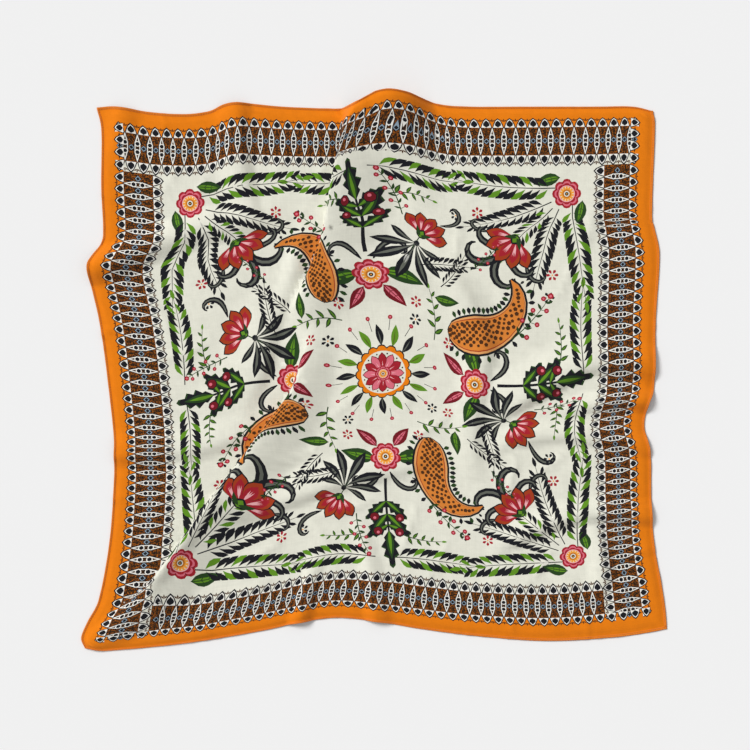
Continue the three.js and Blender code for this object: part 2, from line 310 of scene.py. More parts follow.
def fold_rise(flat, lean, crest):
    """How far one fold lifts each place, and how far it pushes it over."""
    near, _, distance, leftward, height, width = nearest_on(crest, flat, crest[:, 3:].max())
    rise = height * np.clip(1 - (distance / width) ** 2, 0, 1) ** 2
    push = lean * lean_left(flat[near]) * rise
    return near, rise, leftward * push[:, None]


def crease_rise(flat, x, y, heading, length, width, height):
    """How far one shallow crease lifts each place. It bends a little and fades at its ends."""
    turn = complex(math.cos(math.radians(heading)), math.sin(math.radians(heading)))
    place = ((flat[:, 0] - x) + 1j * (flat[:, 1] - y)) / turn
    along = place.real / (length / 2)
    off = place.imag - 0.07 * length * along ** 2
    return height * np.clip(1 - along ** 2, 0, 1) ** 2 / (1 + (off / (width / 2)) ** 2) ** 2


def edge_distance(across, down):
    """How far places in the cut cloth lie in from its nearest edge."""
    return np.minimum(np.minimum(across, SIDE - across), np.minimum(down, SIDE - down))


def ripple(flat, across, down):
    """Low waves all over the cloth, and small puckers along its hems."""
    x, y = flat.T
    waves = (0.28 * (1 + np.sin(x / 23 + y / 41 + 0.8 * np.sin(y / 37)))
             + 0.22 * (1 + np.sin(x / 14.5 - y / 19 + 1.3 * np.sin(x / 47 + 2)))
             + 0.12 * (1 + np.sin(x / 7.7 + y / 9.1 + 1.6 * np.sin(y / 21 + 1))))
    from_edge = edge_distance(across, down)
    beside = np.where(np.minimum(across, SIDE - across) < np.minimum(down, SIDE - down),
                      down, across)
    puckers = ((1 + np.sin(beside / 2.9 + 1.7 * np.sin(beside / 11)))
               * (1 + np.sin(beside / 23 + 2)))
    from_edge = np.clip(from_edge, 0, None)
    rolled = np.clip(from_edge / EDGE_ROLL, 0, 1)
    return (waves * np.clip(from_edge / 12, 0.3, 1) + 0.14 * puckers * np.exp(-from_edge / 9)
            + EDGE_LIFT * rolled * rolled * (3 - 2 * rolled))


def laid(x, y):
    """Underside of the cloth at places in the cut square, whose middle is 0, 0."""
    across, down = x + HALF, HALF - y
    flat = on_table(across, down)
    for lean, crest in CRESTS:
        if lean:
            flat = gathered(flat, crest)
    place = np.zeros((len(x), 3))
    place[:, :2] = flat + CENTRED
    for lean, crest in CRESTS:
        near, rise, push = fold_rise(flat, lean, crest)
        place[near, :2] += push
        place[near, 2] += rise
    for row in CREASES:
        place[:, 2] += crease_rise(flat, *row)
    place[:, 2] += ripple(flat, across, down)
    return place


def laid_with_normals(x, y):
    """The underside of the cloth and its normals, which point up."""
    place = laid(x, y)
    sideways = laid(x + REACH, y) - laid(x - REACH, y)
    backwards = laid(x, y + REACH) - laid(x, y - REACH)
    normal = np.cross(sideways, backwards)
    return place, normal / np.linalg.norm(normal, axis=1)[:, None]


# Drawing the print. Every shape is a dye and an outline of complex numbers, in
# millimetres in the flat cloth, and a later shape lies on top of an earlier one.

def heading_of(degrees):
    """A step of 1 mm in a direction."""
    return np.exp(1j * math.radians(degrees))


def placed(shapes, at=0, turn=0, size=1.0, flip=False):
    """The shapes turned by degrees, sized, mirrored if asked, and moved to a place."""
    spin = size * heading_of(turn)
    return [(dye, at + spin * (np.conj(line) if flip else line)) for dye, line in shapes]


def disc(radius, corners=8):
    return radius * np.exp(2j * np.pi * np.arange(corners) / corners)


def blade(length, width, bend=0.0, full=0.45, steps=5):
    """A leaf or petal that grows along x from 0, widest at `full` of its length."""
    t = np.linspace(0, 1, steps + 2)
    half = width / 2 * np.sin(np.pi * t ** (math.log(0.5) / math.log(full)))
    line = length * (t + 1j * bend * t * t)
    return np.concatenate([line - 1j * half, (line + 1j * half)[-2:0:-1]])


def run(points, widths):
    """A strip along a line, such as a stem, from its points and its widths."""
    points = np.asarray(points, complex)
    way = np.gradient(points)
    side = 1j * way / abs(way) * np.asarray(widths) / 2
    return np.concatenate([points - side, (points + side)[::-1]])


def bow(length, bend, steps=9, from_width=1.2, to_width=0.5):
    """A curved stem that grows along x from 0, with its line and its outline."""
    t = np.linspace(0, 1, steps)
    line = length * (t + 1j * bend * t * t)
    return line, run(line, from_width + (to_width - from_width) * t)


def along(line, share):
    """The place at a share of a line's length of points, and the heading there in degrees."""
    at = share * (len(line) - 1)
    k = min(int(at), len(line) - 2)
    place = line[k] + (at - k) * (line[k + 1] - line[k])
    return place, math.degrees(np.angle(line[k + 1] - line[k]))


def veined(length, width, bend, body, vein, full=0.42):
    """A leaf with a paler heart, a midrib and short side veins."""
    shapes = [(body, blade(length, width, bend, full, 5)),
              (vein, blade(0.86 * length, 0.36 * width, bend * 0.9, full, 4)),
              (body, run(length * (np.linspace(0, 0.95, 5)
                                   + 1j * bend * np.linspace(0, 0.95, 5) ** 2),
                         width * np.array([0.08, 0.07, 0.06, 0.04, 0.02])))]
    for k in range(2):
        t = 0.28 + 0.22 * k
        foot = length * (t + 1j * bend * t * t)
        for side in (-1, 1):
            shapes += placed([(body, blade(0.3 * width, 0.07 * width, steps=1))],
                             foot, 45 * side + 20 * bend)
    return shapes


def frond(length, bend, pairs, leaf, dyes, narrow=0.34, open_to=48):
    """A feather of paired leaves on a curved stem, longest about a third of the way up."""
    line, stem = bow(length, bend, 8, 1.2, 0.5)
    shapes = [("ink", stem)]
    for k in range(pairs):
        share = 0.1 + 0.86 * k / pairs
        size = leaf * (0.45 + 0.55 * math.sin(math.pi * (0.18 + 0.78 * share)) ** 0.8)
        foot, heading = along(line, share)
        for side in (-1, 1):
            dye = dyes[(k + (side > 0)) % len(dyes)]
            shapes += placed([(dye, blade(size, size * narrow, 0.22, 0.62, 3))],
                             foot + 1.2 * side * 1j * heading_of(heading),
                             heading + side * open_to, flip=side > 0)
    tip, heading = along(line, 0.99)
    return shapes + placed([(dyes[0], blade(leaf * 0.7, leaf * 0.26))], tip, heading)


def toothed(length, width, teeth):
    """A leaf with pointed teeth along both its edges."""
    number = np.arange(2 * teeth + 1)
    t = 0.02 + 0.98 * number / (2 * teeth)
    point = number % 2 == 1
    half = width / 2 * np.sin(np.pi * t ** 0.8) * np.where(point, 1.0, 0.55)
    line = length * np.minimum(1, t + 0.05 * point) + 0j
    return np.concatenate([line - 1j * half, (line + 1j * half)[-2::-1]])


def rectangle(first, last, low, high):
    """A rectangle from its first and last x and its low and high y."""
    return np.array([first + 1j * low, last + 1j * low, last + 1j * high, first + 1j * high])


def mirrored(shapes):
    """The shapes on the other side of the x axis."""
    return [(dye, np.conj(line)) for dye, line in shapes]


def scalloped(radius, petals, depth, phase=0.0, per_petal=4):
    """A round outline with lobes."""
    angle = 2 * np.pi * np.arange(petals * per_petal) / (petals * per_petal)
    lobes = abs(np.cos(petals * (angle - phase) / 2)) ** 0.6
    return radius * (1 - depth + depth * lobes) * np.exp(1j * angle)


def ringed_flower(radius, petals=9):
    """A round flower: red petals, a pink and a cream ring, orange heart, dark eye."""
    shapes = [("red", scalloped(radius, petals, 0.16)),
              ("pink", scalloped(radius * 0.84, petals, 0.16)),
              ("red", scalloped(radius * 0.72, petals, 0.14)),
              ("pale pink", disc(radius * 0.56, 18)), ("sun", disc(radius * 0.5, 18))]
    for k in range(petals):
        turn = 360 * (k + 0.5) / petals
        shapes += placed([("dark red", blade(radius * 0.3, radius * 0.06, steps=1))],
                         radius * 0.6 * heading_of(turn), turn)
    for k in range(14):
        turn = 360 * k / 14
        shapes += placed([("cream", blade(radius * 0.14, radius * 0.07, steps=1))],
                         radius * 0.36 * heading_of(turn), turn)
    return shapes + [("amber", disc(radius * 0.3, 12)), ("cream", disc(radius * 0.2, 10)),
                     ("ink", disc(radius * 0.13, 8)), ("sun", disc(radius * 0.05, 6))]


def star_flower(radius, dye):
    """A little flower of six drops."""
    shapes = []
    for k in range(6):
        turn = 60 * k
        shapes += placed([(dye, blade(radius * 0.75, radius * 0.5, 0, 0.6, 2))],
                         radius * 0.25 * heading_of(turn), turn)
    return shapes + [("sun", disc(radius * 0.14, 6))]


def open_bloom(size):
    """A flower seen from the side: five rust and red petals, stripes, green cup."""
    shapes = []
    for turn in (-62, 62, -32, 32, 0):
        shapes += placed([("ink", blade(1.05 * size, 0.5 * size, 0, 0.66, 6)),
                          ("rust", blade(size, 0.44 * size, 0, 0.66, 6)),
                          ("red", blade(0.84 * size, 0.3 * size, 0, 0.62, 5))], 0, turn)
        for lean in (-7, 0, 7):
            shapes += placed([("pale pink", blade(0.42 * size, 0.035 * size, steps=2))],
                             0.2 * size * heading_of(turn), turn + lean)
    shapes += placed([("ink", blade(0.36 * size, 0.4 * size, 0, 0.4, 6))], -0.1 * size)
    shapes += placed([("leaf", blade(0.26 * size, 0.22 * size, 0, 0.4, 5))], -0.06 * size)
    for turn in (-70, 70):
        shapes += placed([("deep leaf", blade(0.4 * size, 0.14 * size, 0.3))], 0, turn,
                         flip=turn > 0)
    return shapes


def thorny_sprig(length):
    """A dark branch of toothed leaves with green hearts, and berries between them."""
    line, _ = bow(0.66 * length, 0.08, 8)
    shapes = [("ink", run(line, np.linspace(3.6, 2.2, 8)))]
    # Share of the stem, length, width and turn of each leaf
    leaves = [(0.42, 0.3, 0.15, 46), (0.42, 0.3, 0.15, -46), (0.66, 0.34, 0.17, 40),
              (0.66, 0.34, 0.17, -40), (0.86, 0.26, 0.14, 64), (0.86, 0.26, 0.14, -64),
              (0.96, 0.4, 0.2, 0)]
    for dye, grow in (("deep leaf", 1.07), ("ink", 1.0)):
        for share, size, wide, turn in leaves:
            foot, heading = along(line, share)
            shapes += placed([(dye, toothed(grow * size * length, grow * wide * length, 4))],
                             foot, heading + turn)
    for share, size, wide, turn in leaves:
        foot, heading = along(line, share)
        shapes += placed([("deep leaf", blade(0.84 * size * length, 0.42 * wide * length)),
                          ("leaf", blade(0.7 * size * length, 0.18 * wide * length))],
                         foot, heading + turn)
    for share, off in ((0.72, 0.14), (0.72, -0.14), (0.98, 0.12), (0.98, -0.12)):
        foot, heading = along(line, share)
        berry = [("ink", disc(0.058 * length)), ("dark red", disc(0.048 * length)),
                 ("pink", disc(0.018 * length, 6) + 0.014 * length)]
        shapes += placed(berry, foot + 1j * off * length, heading)
    return shapes


def berry_twig(length, bend, flip=False):
    """A thin green stem with berries on short stalks and a few small leaves."""
    line, stem = bow(length, bend, 10, 1.3, 0.6)
    shapes = [("deep leaf", stem)]
    for k in range(6):
        foot, heading = along(line, 0.16 + 0.14 * k)
        side = 1 if k % 2 else -1
        stalk = length * (0.15 - 0.012 * k)
        reach = foot + stalk * heading_of(heading + 62 * side)
        shapes += [("deep leaf", run([foot, (foot + reach) / 2, reach], [0.7, 0.6, 0.6]))]
        shapes += placed([("red", disc(0.045 * length)), ("pink", disc(0.02 * length, 6))],
                         reach)
        shapes += placed([("deep leaf", blade(0.13 * length, 0.05 * length, 0.2))],
                         foot, heading - 50 * side)
    tip, heading = along(line, 1)
    shapes += placed([("red", disc(0.055 * length)), ("pink", disc(0.025 * length, 6))], tip)
    return placed(shapes, flip=flip)


def leaf_fan(size):
    """Dark round-ended leaves with paler veins that fan out from one foot."""
    shapes = [("ink", disc(0.07 * size, 8))]
    for turn, length in ((-78, 0.62), (-50, 0.84), (-24, 0.97), (0, 1.0), (24, 0.97),
                         (50, 0.84), (78, 0.62)):
        bend = 0.3 if turn else 0.0
        leaf = [("ink", blade(size * length, 0.25 * size * length, bend, 0.66, 5)),
                ("soft ink", blade(0.9 * size * length, 0.07 * size * length, bend, 0.66, 3))]
        shapes += placed(leaf, 0, turn, flip=turn < 0)
    return shapes


def leafy_twig(length, bend):
    """A thin green stem with small leaves to its left and right in turn."""
    line, stem = bow(length, bend, 7, 1.2, 0.6)
    shapes = [("deep leaf", stem)]
    for k in range(7):
        foot, heading = along(line, 0.14 + 0.12 * k)
        side = 1 if k % 2 else -1
        size = length * (0.24 - 0.014 * k)
        shapes += placed(veined(size, 0.4 * size, 0.1, "deep leaf", "leaf")[:3], foot,
                         heading + 52 * side)
    tip, heading = along(line, 1)
    return shapes + placed([("leaf", blade(0.16 * length, 0.06 * length))], tip, heading)


def scroll(size):
    """A dark leaf that grows along x and curls in at its tip, with a paler midrib."""
    t = np.linspace(0, 1, 12)
    steps = np.exp(1j * np.radians(-10 + 265 * t ** 1.7)) * (1 - 0.62 * t)
    line = np.concatenate([[0], np.cumsum(steps)])[:12]
    line *= size / abs(line).max()
    width = size * (0.03 + 0.17 * np.sin(np.pi * t ** 0.7))
    return [("ink", run(line, width)), ("soft ink", run(line[1:-2], 0.3 * width[1:-2]))]


def plumes(size):
    """A spray of curled leaves from one foot."""
    shapes = []
    for turn, share, flip in ((8, 1.0, False), (-8, 1.0, True), (44, 0.78, False),
                              (-44, 0.78, True)):
        shapes += placed(scroll(share * size), 0, turn, flip=flip)
    return shapes + [("ink", blade(0.7 * size, 0.13 * size, 0, 0.6, 3)),
                     ("ink", disc(0.06 * size))]


def paisley(length):
    """A curled drop in tangerine with dark spots, edged with small petals."""
    count = 18
    t = np.linspace(0, 1, count) ** 1.25
    way = np.radians(-18 + 152 * t ** 1.7)
    line = np.concatenate([[0], np.cumsum(np.exp(1j * way[:-1]) * np.diff(t))]) * length * 1.32
    bulb = 0.3
    swell = np.where(t < bulb, np.sqrt(np.clip(1 - ((bulb - t) / bulb) ** 2, 0, 1)),
                     np.clip(1 - ((t - bulb) / (1 - bulb)), 0, 1) ** 0.8)
    widths = 0.42 * length * swell
    shapes = []
    edge = run(line, widths + 0.05 * length)
    for k in range(1, len(edge) - 1):
        if k in (1, count - 1, count, 2 * count - 2):
            continue
        turn = math.degrees(np.angle(edge[k + 1] - edge[k - 1])) - 90
        size = length * (0.085 if widths[min(k, 2 * count - 1 - k)] > 0.1 * length else 0.055)
        dye = ("ink", "deep leaf")[k % 2]
        shapes += placed([(dye, blade(size, 0.6 * size, 0, 0.55, 2))], edge[k], turn)
    shapes += [("ink", run(line, widths + 0.05 * length)), ("apricot", run(line, widths)),
               ("rust", run(line, widths * 0.88)), ("tangerine", run(line, widths * 0.82))]
    shapes += spots(line, widths * 0.7, 0.024 * length)
    return shapes


def spots(line, widths, radius):
    """Rows of dark open spots along a strip."""
    shapes = []
    for k in range(1, 2 * (len(line) - 2)):
        share = k / (2 * (len(line) - 1))
        place, heading = along(line, share)
        width = np.interp(share, np.linspace(0, 1, len(line)), widths)
        lanes = max(1, int(width / (2.6 * radius)))
        for lane in range(lanes):
            off = 0 if lanes == 1 else width * ((lane + 0.5 * (k % 2)) / lanes - 0.4)
            at = place + 1j * off * heading_of(heading)
            size = radius * (0.75 + 0.35 * ((3 * k + 5 * lane) % 4) / 3)
            shapes += [("brown", at + disc(size, 5) * (1 + 0.25j))]
    return shapes


def medallion():
    """The rosette in the middle of the scarf."""
    shapes = []
    for k in range(16):
        turn = 22.5 * k
        at = 31 * heading_of(turn)
        shapes += placed([(("ink", "leaf")[k % 2], blade(24, 8.4, 0.16, 0.5, 6))], at, turn)
        shapes += placed([(("soft ink", "olive")[k % 2], blade(17, 1.3, 0.16, 0.5, 2))], at, turn)
        out = heading_of(turn + 11.25)
        shapes += [("ink", run([48 * out, 55 * out, 61 * out], [0.7, 0.6, 0.6]))]
        shapes += placed([("red", disc(2.5)), ("pink", disc(1.1, 6))], 62 * out)
    shapes += [("ink", scalloped(32.5, 16, 0.1)), ("orange", scalloped(31, 16, 0.1)),
               ("cream", disc(25.5, 32))]
    for k in range(12):
        turn = 30 * k
        shapes += placed([("dark red", blade(24, 10.2, 0, 0.68, 6)),
                          ("red" if k % 2 else "pink", blade(23, 8.6, 0, 0.68, 6)),
                          ("pale pink", blade(15, 1.0, 0, 0.6, 2))], 0, turn)
    for k in range(12):
        out = heading_of(30 * k + 15)
        shapes += placed([("ink", disc(1.0, 6))], 22.6 * out)
    shapes += placed(ringed_flower(9.5, 8))
    return shapes


def quarter():
    """One quarter of the middle's print, between its axis along x and the next along y."""
    ferns, night = ("leaf", "ink", "ink"), ("ink",)
    # Beside the axis, on both its sides
    beside = placed(veined(42, 18, 0.12, "deep leaf", "leaf"), 112 + 12j, 98)
    beside += placed(veined(32, 14, -0.12, "dark red", "pink"), 97 + 10j, 146)
    beside += placed(frond(98, -0.08, 11, 19, ferns), 234 + 9j, 95)
    beside += placed(star_flower(7, "red"), 80 + 42j)
    beside += placed(scroll(34), 128 + 5j, 40)
    beside += placed(leafy_twig(44, 0.25), 206 + 22j, 74)
    shapes = beside + mirrored(beside)
    shapes += placed(thorny_sprig(104), 136)
    shapes += placed(ringed_flower(18), 110)
    # Beside the corner, mirrored across the diagonal
    wedge = placed(frond(122, 0.12, 13, 20, ferns), 227 + 212j, -92)
    wedge += placed(frond(104, 0.1, 11, 18, night), 212 + 204j, -114)
    wedge += placed(veined(30, 13, 0.1, "deep leaf", "leaf"), 213 + 238j, 188)
    wedge += placed(star_flower(7, "ink"), 196 + 96j)
    wedge += placed(star_flower(7, "red"), 200 + 122j)
    wedge += placed(scroll(28), 172 + 138j, -76)
    shapes += wedge + [(dye, 1j * np.conj(line)) for dye, line in wedge]
    # On the diagonal
    corner = np.exp(1j * np.pi / 4)
    shapes += placed(frond(86, 0.05, 10, 14, ferns), 290 * corner, 225)
    shapes += placed(plumes(50), 224 * corner, 225)
    shapes += placed(open_bloom(34), 231 * corner, 225)
    shapes += placed(ringed_flower(16, 8), 312 * corner)
    # Turning about the middle of the scarf: a paisley on one side of the axis, and a bloom
    # with its leaves on the other
    shapes += placed(paisley(98), 80 + 57j, 8)
    shapes += placed(leafy_twig(54, 0.3), 62 + 42j, 76)
    shapes += placed(star_flower(7, "ink"), 40 + 60j)
    shapes += placed(berry_twig(64, 0.2), 154 + 50j, 36)
    shapes += placed(frond(52, 0.2, 8, 10, night), 74 + 104j, 40)
    shapes += placed(berry_twig(40, 0.25), 112 + 128j, 28)
    shapes += [("deep leaf", run([118 - 30j, 136 - 40j, 158 - 52j], [1.6, 1.4, 1.2]))]
    shapes += placed(leaf_fan(50), 148 - 48j, 150)
    shapes += placed(open_bloom(31), 158 - 52j, -32)
    shapes += placed(frond(60, -0.25, 9, 12, night), 124 - 50j, -70)
    shapes += placed(berry_twig(50, 0.25), 182 - 32j, 4)
    shapes += placed(scroll(34), 176 - 74j, -70)
    shapes += placed(veined(30, 13, 0.1, "deep leaf", "leaf"), 90 - 66j, -100)
    return shapes


# The border: a strip of lozenges between two rows of pointed arches
PLAIN = 22.0          # plain edge outside the border
BAND = 52.5           # whole depth of the border
REPEATS = 48          # repeats along a full side
CORNER_REPEATS = 4    # repeats across the border's depth at a corner
STRIP_LINE = 0.5      # dark line on each side of the brown strip
SEAT = 0.7            # how far the lozenges start inside the strip
TUFT_IN = 4.2         # how far the tufts stand in from the border's rims
ARCH = 11.0           # depth of a row of arches
TRIMMED = 3.4         # how far the cloth stops from the cut edge, inside its hem


def arch():
    """A white pointed arch with a dark outline and a dark drop. It stands on x, tip to +y."""
    t = np.array([-1, -0.8, -0.42, 0, 0.42, 0.8, 1])
    def pointed(width, height):
        rise = (1 - abs(t) ** 1.6) ** 0.9
        return width / 2 * np.sign(t) * abs(t) ** 0.9 + 1j * height * rise
    return [("ink", pointed(12.6, 12.0)), ("white", pointed(10.4, 10.1)),
            ("ink", 0.2j + 1j * blade(8.6, 7.2, 0, 0.4, 3))]


def tuft(dye):
    """Three short leaves between two arches, pointing to +y."""
    shapes = []
    for turn in (40, 90, 140):
        shapes += placed([(dye, blade(4.4, 1.7, 0, 0.6, 1))], 0, turn)
    return shapes


def lozenge():
    """A long pointed lozenge in white outline, with two dark dots, standing along y."""
    y = np.array([0, 9.8, 19.6, 29.4])
    half = np.array([0.1, 2.8, 2.8, 0.1])
    def outline(grow, short=0.0):
        tall = 14.7 + (y - 14.7) * (1 - short)
        width = np.maximum(half + grow, 0.05)
        return np.concatenate([width + 1j * tall, (-width + 1j * tall)[::-1]])
    shapes = [("ink", outline(1.0)), ("white", outline(0.1)), ("soil", outline(-0.8, 0.2))]
    for centre in (10.2, 19.2):
        shapes += [("white", 1j * centre + disc(3.2, 7)), ("ink", 1j * centre + disc(2.3, 6))]
    return shapes


def between():
    """What lies between two lozenges: a chain of pale diamonds and two dark drops."""
    shapes = []
    for foot, turn in ((0.2j, 90), (29.2j, -90)):
        shapes += placed([("soil", blade(9.4, 3.4, 0, 0.5, 1))], foot, turn)
    for wide, high, dye in ((4.0, 3.9, "ink"), (3.2, 3.0, "pale blue"), (2.2, 2.0, "ink")):
        shapes += [(dye, 14.7j + np.array([-wide, -1j * high, wide, 1j * high]))]
    return shapes


def border():
    """The whole border. Each side's repeat is drawn with x along it and +y outwards."""
    near, far = ARCH, BAND - ARCH
    inner = HALF - PLAIN - BAND
    # The far, near, right and left side: quarter turns, first and last place, repeats
    sides = [(0, -HALF + PLAIN, HALF - PLAIN, REPEATS),
             (2, -inner, inner, REPEATS - 2 * CORNER_REPEATS),
             (3, -inner, HALF - PLAIN, REPEATS - CORNER_REPEATS),
             (1, -HALF + PLAIN, inner, REPEATS - CORNER_REPEATS)]
    base = HALF - PLAIN
    field = base - far
    grounds, motifs = [("cream", rectangle(-field, field, -field, field))], []
    for quarters, first, last, count in sides:
        turn = 1j ** quarters
        # At the border's outer corners the last row of arches stands on the plain edge
        start = first + (near if first == -base else 0)
        stop = last - (near if last == base else 0)
        for dye, low, high in (("cream", base - BAND, base - far),
                               ("ink", base - far - STRIP_LINE, base - near + STRIP_LINE),
                               ("strip", base - far, base - near)):
            grounds += [(dye, turn * rectangle(start, stop, low, high))]
        step = (last - first) / count
        for k in range(count):
            here = first + (k + 0.5) * step
            edge = first + k * step
            motifs += placed(between(), turn * (here + 1j * (base - far + SEAT)), 90 * quarters)
            motifs += placed(arch(), turn * (here + 1j * (base - near)), 90 * quarters)
            motifs += placed(arch(), turn * (here + 1j * (base - far)), 90 * quarters + 180)
            if k:
                motifs += placed(lozenge(), turn * (edge + 1j * (base - far + SEAT)),
                                 90 * quarters)
                motifs += placed(tuft("brown"), turn * (edge + 1j * (base - TUFT_IN)),
                                 90 * quarters)
                motifs += placed(tuft("brown"), turn * (edge + 1j * (base - BAND + TUFT_IN)),
                                 90 * quarters + 180)
    # Where one side's strip ends at the next side, the row of arches runs on beside it
    for quarters, signs in ((1, (1,)), (3, (-1,)), (2, (1, -1))):
        turn = 1j ** quarters
        for k in range(CORNER_REPEATS):
            beyond = inner + (k + 0.5) * (BAND / CORNER_REPEATS)
            for sign in signs:
                motifs += placed(arch(), turn * (sign * beyond + 1j * (base - near)),
                                 90 * quarters)
    return grounds, motifs


def whole_print():
    """Every shape of the print, the lowest first."""
    trim = HALF - TRIMMED
    ground = [("orange", rectangle(-trim, trim, -trim, trim))]
    grounds, motifs = border()
    middle = medallion()
    for k in range(4):
        middle += placed(quarter(), 0, 90 * k)
    return ground + grounds + motifs + middle


# Meshes

MERGE = 0.004         # millimetres under which two corners of the print are one
SHOWS_THROUGH = 0.55  # share of the face's dye that shows on the reverse


def counter_clockwise(line):
    area = (line.real * np.roll(line.imag, -1) - np.roll(line.real, -1) * line.imag).sum()
    return line if area > 0 else line[::-1]


def cut_into_triangles(points, outlines):
    """A flat mesh through all the points and outlines. Gives its places, its triangles,
    and for each triangle the number of the last outline that it lies in."""
    places = list(points)
    faces = []
    for line in outlines:
        faces.append(list(range(len(places), len(places) + len(line))))
        places.extend(counter_clockwise(line))
    flat = [Vector((z.real, z.imag)) for z in places]
    corners, _, triangles, _, _, inside = delaunay_2d_cdt(flat, [], faces, 0, MERGE)
    kept = [k for k, numbers in enumerate(inside) if numbers]
    return (np.array([tuple(c) for c in corners]),
            np.array([triangles[k] for k in kept]),
            np.array([max(inside[k]) for k in kept]))


def grid_points(half, spacing):
    """Places over a square, its rim included."""
    count = round(2 * half / spacing)
    stops = np.linspace(-half, half, count + 1)
    return (stops[:, None] + 1j * stops[None, :]).ravel()


def hollow(flat, spacing):
    """How far a straight face of the grid lies above the cloth where it bends upwards."""
    x, y = flat.T
    middle = laid(x, y)
    ways = (laid(x + spacing, y) + laid(x - spacing, y),
            laid(x, y + spacing) + laid(x, y - spacing))
    return sum(np.maximum((way / 2 - middle)[:, 2], 0) for way in ways) / 2


def rim_order(corners, half):
    """The numbers of the corners on the rim, in order round it."""
    x, y = corners.T
    on_rim = np.flatnonzero(np.maximum(abs(x), abs(y)) > half - 0.01)
    return on_rim[np.argsort(np.arctan2(y[on_rim], x[on_rim]))]


def linked(name, data):
    """A new object of the scene."""
    made = bpy.data.objects.new(name, data)
    bpy.context.scene.collection.objects.link(made)
    return made


def mesh_object(name, points, faces, materials, smooth=True):
    """A mesh object from points in millimetres."""
    mesh = bpy.data.meshes.new(name)
    mesh.from_pydata((np.asarray(points) / 1000).tolist(), [], np.asarray(faces).tolist())
    mesh.polygons.foreach_set("use_smooth", [smooth] * len(mesh.polygons))
    for material in materials:
        mesh.materials.append(material)
    return linked(name, mesh)


def corner_values(mesh, per_point):
    """A value for each face corner, from a value for each point."""
    numbers = np.empty(len(mesh.loops), dtype=np.int64)
    mesh.loops.foreach_get("vertex_index", numbers)
    return np.asarray(per_point)[numbers]


def add_uv(mesh, name, per_point):
    layer = mesh.uv_layers.new(name=name)
    layer.data.foreach_set("uv", corner_values(mesh, per_point).astype(np.float32).ravel())


# Materials

WEAVE = (0.0006, 0.00012)   # distance between threads as drawn, and the weave's depth


def add_node(tree, kind, settings=None, inputs=None):
    """A node with its settings, and its inputs as values or links."""
    made = tree.nodes.new(kind)
    for name, value in (settings or {}).items():
        setattr(made, name, value)
    for key, value in (inputs or {}).items():
        if isinstance(value, bpy.types.NodeSocket):
            tree.links.new(value, made.inputs[key])
        else:
            made.inputs[key].default_value = value
    return made


def math_of(tree, operation, *values):
    """The result of a sum on numbers or links."""
    return add_node(tree, "ShaderNodeMath", {"operation": operation},
                    dict(enumerate(values))).outputs[0]


def bumped(tree, strength, depth, height):
    return add_node(tree, "ShaderNodeBump", None,
                    {"Strength": strength, "Distance": depth, "Height": height}).outputs["Normal"]


def mixed(tree, share, colour, other):
    return add_node(tree, "ShaderNodeMix", {"data_type": "RGBA", "blend_type": "MIX"},
                    {0: share, 6: colour, 7: other}).outputs[2]


def tinted(tree, colour, value, low, high, dark, light):
    """The colour made darker where the value is low and lighter where it is high."""
    shade = add_node(tree, "ShaderNodeMapRange", {"clamp": True},
                     {"Value": value, "From Min": low, "From Max": high,
                      "To Min": dark, "To Max": light})
    return add_node(tree, "ShaderNodeVectorMath", {"operation": "SCALE"},
                    {0: colour, "Scale": shade.outputs["Result"]}).outputs[0]


def surfaced(material, colour, normal, roughness, values):
    """The material with its surface."""
    tree = material.node_tree
    shader = add_node(tree, "ShaderNodeBsdfPrincipled", None,
                      {"Base Color": colour, "Normal": normal, "Roughness": roughness, **values})
    add_node(tree, "ShaderNodeOutputMaterial", None, {"Surface": shader.outputs["BSDF"]})
    return material


def new_material(name):
    """An empty material with its node tree and its output."""
    material = bpy.data.materials.new(name)
    material.use_nodes = True
    material.node_tree.nodes.clear()
    return material, material.node_tree


def woven_surface(tree, where, pitch, depth):
    """Height of a plain weave and its thicker threads, from coordinates in metres."""
    threads = []
    for direction, slub in (("X", (700, 26, 1)), ("Y", (26, 700, 1))):
        wave = add_node(tree, "ShaderNodeTexWave",
                        {"wave_type": "BANDS", "bands_direction": direction,
                         "wave_profile": "SIN"},
                        {"Vector": where, "Scale": 0.314 / pitch, "Distortion": 0.6,
                         "Detail": 1.0, "Detail Scale": 0.4})
        stretch = add_node(tree, "ShaderNodeMapping", {"vector_type": "POINT"},
                           {"Vector": where, "Scale": slub})
        thick = add_node(tree, "ShaderNodeTexNoise", {"noise_dimensions": "3D"},
                         {"Vector": stretch.outputs["Vector"], "Scale": 1.0, "Detail": 2.0,
                          "Roughness": 0.5})
        threads.append((wave.outputs["Fac"], thick.outputs["Fac"]))
    (warp, thick_warp), (weft, thick_weft) = threads
    slubs = math_of(tree, "ADD", thick_warp, thick_weft)
    height = math_of(tree, "MULTIPLY_ADD", slubs, 1.2, math_of(tree, "MULTIPLY", warp, weft))
    return bumped(tree, 0.5, depth, height), slubs


